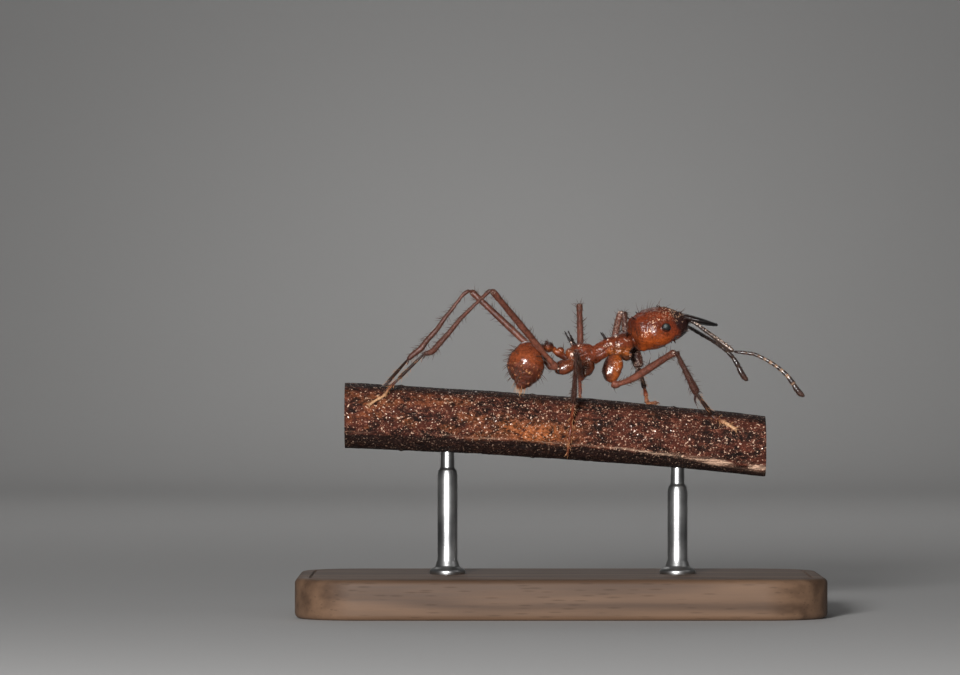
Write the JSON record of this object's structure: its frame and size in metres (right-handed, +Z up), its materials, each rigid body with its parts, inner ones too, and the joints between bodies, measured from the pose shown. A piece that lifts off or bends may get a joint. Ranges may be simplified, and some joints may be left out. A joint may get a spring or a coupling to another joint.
{
  "type": "leafcutter ant model",
  "caption": "Life-size still model of a leafcutter ant walking along a cut length of twig, held over a flat wooden base by short rods.",
  "frame": {"origin": "centre of the stand base's flat underside", "axes": "+Z up; +X along the twig, the way the ant walks (its body is turned 8 degrees from +X towards +Y); +Y towards the ant's left side"},
  "size_m": [0.021, 0.0124, 0.013],
  "materials": {
    "head_shell": "waxy amber-brown horn, finely pebbled above, darker towards the mouth",
    "trunk_shell": "glossy red-brown horn with darker sutures and spines",
    "gaster_shell": "glossy red-brown horn, knobbly towards the tip",
    "coxa_shell": "clear glossy amber horn",
    "leg_shell": "satin brown horn with a fine skin texture",
    "foot_shell": "satin brown horn with golden hairs",
    "feeler_shell": "dark brown ringed horn",
    "jaw_shell": "hard, nearly black red-brown horn",
    "eye_lens": "black faceted dome with a grey-green sheen",
    "bark": "rough dark red-brown bark with pale cut ends",
    "stand_wood": "dark oiled hardwood with softened edges",
    "stand_steel": "brushed steel pins"
  },
  "bodies": {
    "root": {"stand_base": "stand_wood", "stand_rod_front": "stand_steel", "stand_rod_rear": "stand_steel", "perch_twig": "bark", "head": "head_shell", "pronotum": "trunk_shell", "propodeum": "trunk_shell", "petiole": "trunk_shell", "postpetiole": "trunk_shell", "gaster": "gaster_shell", "eye_right": "eye_lens", "mandible_right": "jaw_shell", "scape_right": "feeler_shell", "funiculus_right": "feeler_shell", "eye_left": "eye_lens", "mandible_left": "jaw_shell", "scape_left": "feeler_shell", "funiculus_left": "feeler_shell", "coxa_front_right": "coxa_shell", "femur_front_right": "leg_shell", "tibia_front_right": "leg_shell", "tarsus_front_right": "foot_shell", "coxa_front_left": "coxa_shell", "femur_front_left": "leg_shell", "tibia_front_left": "leg_shell", "tarsus_front_left": "foot_shell", "coxa_middle_right": "coxa_shell", "femur_middle_right": "leg_shell", "tibia_middle_right": "leg_shell", "tarsus_middle_right": "foot_shell", "coxa_middle_left": "coxa_shell", "femur_middle_left": "leg_shell", "tibia_middle_left": "leg_shell", "tarsus_middle_left": "foot_shell", "coxa_hind_right": "coxa_shell", "femur_hind_right": "leg_shell", "tibia_hind_right": "leg_shell", "tarsus_hind_right": "foot_shell", "coxa_hind_left": "coxa_shell", "femur_hind_left": "leg_shell", "tibia_hind_left": "leg_shell", "tarsus_hind_left": "foot_shell"}
  },
  "joints": []
}
